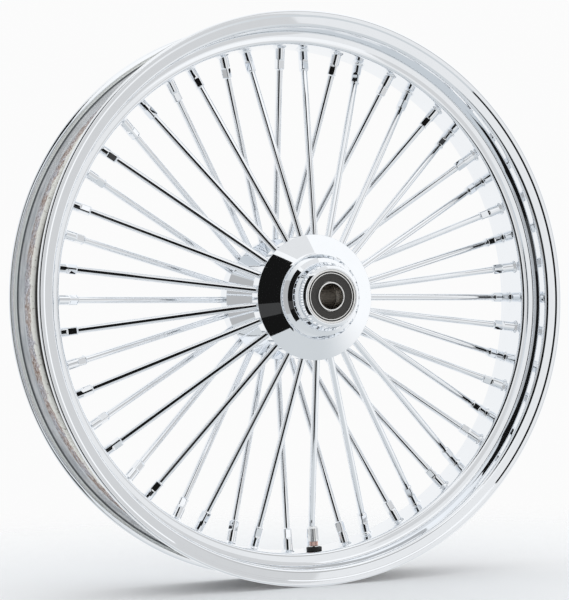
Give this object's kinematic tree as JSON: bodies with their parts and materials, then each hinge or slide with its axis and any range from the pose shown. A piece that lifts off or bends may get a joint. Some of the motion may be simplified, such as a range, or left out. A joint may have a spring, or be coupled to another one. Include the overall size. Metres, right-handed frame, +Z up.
{
  "type": "spoked wheel",
  "caption": "Laced motorcycle wheel with a drop-centre rim, straight thick spokes, a flanged hub and sealed bearings that turn on an open axle bore.",
  "frame": {"origin": "centre of the wheel, on the axle line midway between the two bearing faces", "axes": "+Y along the axle towards the rear side, +Z up with the valve at the bottom, +X to the right seen from the front side"},
  "size_m": [0.563, 0.167, 0.563],
  "materials": {
    "rim_chrome": "mirror chrome on formed steel, unpolished on the tyre side",
    "hub_chrome": "mirror chrome on a turned hub",
    "spoke_chrome": "mirror chrome on drawn steel",
    "bearing_steel": "ground bearing steel",
    "ball_steel": "polished balls in a pressed cage",
    "spacer_steel": "turned tube",
    "seal_rubber": "moulded nitrile seal",
    "valve_rubber": "moulded rubber grommet",
    "valve_copper": "copper-coloured turned nut",
    "valve_cap": "bright cap"
  },
  "bodies": {
    "axle_set": {"bearing_front_inner_race": "bearing_steel", "bearing_rear_inner_race": "bearing_steel", "axle_spacer": "spacer_steel"},
    "wheel": {"rim": "rim_chrome", "hub_shell": "hub_chrome", "spoke_front_01": "spoke_chrome", "spoke_front_02": "spoke_chrome", "spoke_front_03": "spoke_chrome", "spoke_front_04": "spoke_chrome", "spoke_front_05": "spoke_chrome", "spoke_front_06": "spoke_chrome", "spoke_front_07": "spoke_chrome", "spoke_front_08": "spoke_chrome", "spoke_front_09": "spoke_chrome", "spoke_front_10": "spoke_chrome", "spoke_front_11": "spoke_chrome", "spoke_front_12": "spoke_chrome", "spoke_front_13": "spoke_chrome", "spoke_front_14": "spoke_chrome", "spoke_front_15": "spoke_chrome", "spoke_front_16": "spoke_chrome", "spoke_front_17": "spoke_chrome", "spoke_front_18": "spoke_chrome", "spoke_front_19": "spoke_chrome", "spoke_front_20": "spoke_chrome", "spoke_front_21": "spoke_chrome", "spoke_front_22": "spoke_chrome", "spoke_front_23": "spoke_chrome", "spoke_front_24": "spoke_chrome", "spoke_front_25": "spoke_chrome", "spoke_rear_01": "spoke_chrome", "spoke_rear_02": "spoke_chrome", "spoke_rear_03": "spoke_chrome", "spoke_rear_04": "spoke_chrome", "spoke_rear_05": "spoke_chrome", "spoke_rear_06": "spoke_chrome", "spoke_rear_07": "spoke_chrome", "spoke_rear_08": "spoke_chrome", "spoke_rear_09": "spoke_chrome", "spoke_rear_10": "spoke_chrome", "spoke_rear_11": "spoke_chrome", "spoke_rear_12": "spoke_chrome", "spoke_rear_13": "spoke_chrome", "spoke_rear_14": "spoke_chrome", "spoke_rear_15": "spoke_chrome", "spoke_rear_16": "spoke_chrome", "spoke_rear_17": "spoke_chrome", "spoke_rear_18": "spoke_chrome", "spoke_rear_19": "spoke_chrome", "spoke_rear_20": "spoke_chrome", "spoke_rear_21": "spoke_chrome", "spoke_rear_22": "spoke_chrome", "spoke_rear_23": "spoke_chrome", "spoke_rear_24": "spoke_chrome", "spoke_rear_25": "spoke_chrome", "bearing_front_outer_race": "bearing_steel", "bearing_rear_outer_race": "bearing_steel", "valve": "valve_rubber"},
    "front_balls": {"bearing_front_ball_cage": "ball_steel"},
    "rear_balls": {"bearing_rear_ball_cage": "ball_steel"}
  },
  "joints": [
    {"name": "wheel_spin", "type": "hinge", "parent": "axle_set", "child": "wheel", "pos_m": [0, 0, 0], "axis": [0, 1, 0], "continuous": true},
    {"name": "front_cage_spin", "type": "hinge", "parent": "axle_set", "child": "front_balls", "pos_m": [0, -0.0758, 0], "axis": [0, 1, 0], "continuous": true},
    {"name": "rear_cage_spin", "type": "hinge", "parent": "axle_set", "child": "rear_balls", "pos_m": [0, 0.0758, 0], "axis": [0, 1, 0], "continuous": true}
  ],
  "couplings": [
    {"joint": "front_cage_spin", "follows": "wheel_spin", "ratio": 0.6017},
    {"joint": "rear_cage_spin", "follows": "wheel_spin", "ratio": 0.6017}
  ]
}
